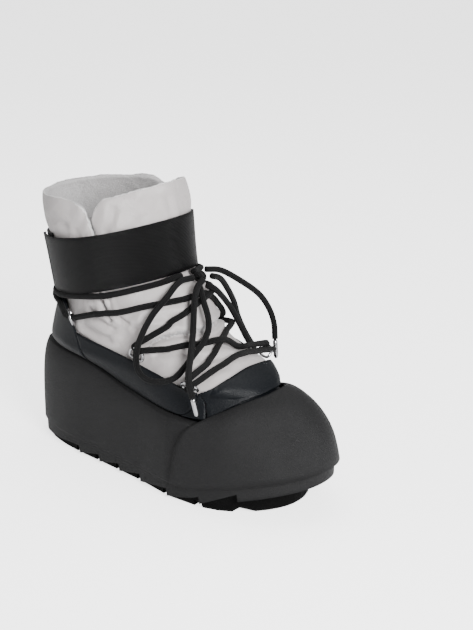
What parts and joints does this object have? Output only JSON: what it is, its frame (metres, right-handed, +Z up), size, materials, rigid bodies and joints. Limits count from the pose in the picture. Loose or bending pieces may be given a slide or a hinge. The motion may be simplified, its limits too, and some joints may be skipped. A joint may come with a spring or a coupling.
{
  "type": "puffer boot",
  "caption": "Ankle-high padded satin boot with fleece lining, wide webbing ankle strap, round laces through metal rings and a thick ratchet-edged cup sole.",
  "frame": {"origin": "middle of the boot's box on the floor, under the sole", "axes": "+X from heel to toe, +Y to the wearer's left, the inner side of this right boot, +Z up"},
  "size_m": [0.2933, 0.1229, 0.241],
  "materials": {
    "satin": "quilted satin, soft sheen",
    "fleece": "short pile fleece",
    "leather": "smooth coated leather, satin gloss",
    "foam": "moulded foam, fine grain",
    "rubber": "matte rubber",
    "webbing": "glossy twill webbing",
    "lace": "round braid",
    "metal": "polished nickel"
  },
  "bodies": {
    "root": {"outsole": "rubber", "midsole": "foam", "insole": "fleece", "toe_bumper": "foam", "upper": "satin", "tongue": "satin", "heel_counter": "leather", "side_overlay_lateral": "leather", "side_overlay_medial": "leather", "notch_patch_lateral": "leather", "notch_patch_medial": "leather", "toe_overlay": "leather", "ankle_strap": "webbing", "ankle_strap_tab": "leather", "ring_lateral_1": "metal", "ring_lateral_2": "metal", "ring_lateral_3": "metal", "ring_medial_1": "metal", "ring_medial_2": "metal", "ring_medial_3": "metal", "lace_bars": "lace", "lace_wrap": "lace", "lace_knot": "lace", "lace_loop_1": "lace", "lace_loop_2": "lace", "lace_end_1": "lace", "aglet_1": "metal", "lace_end_2": "lace", "aglet_2": "metal"}
  },
  "joints": []
}
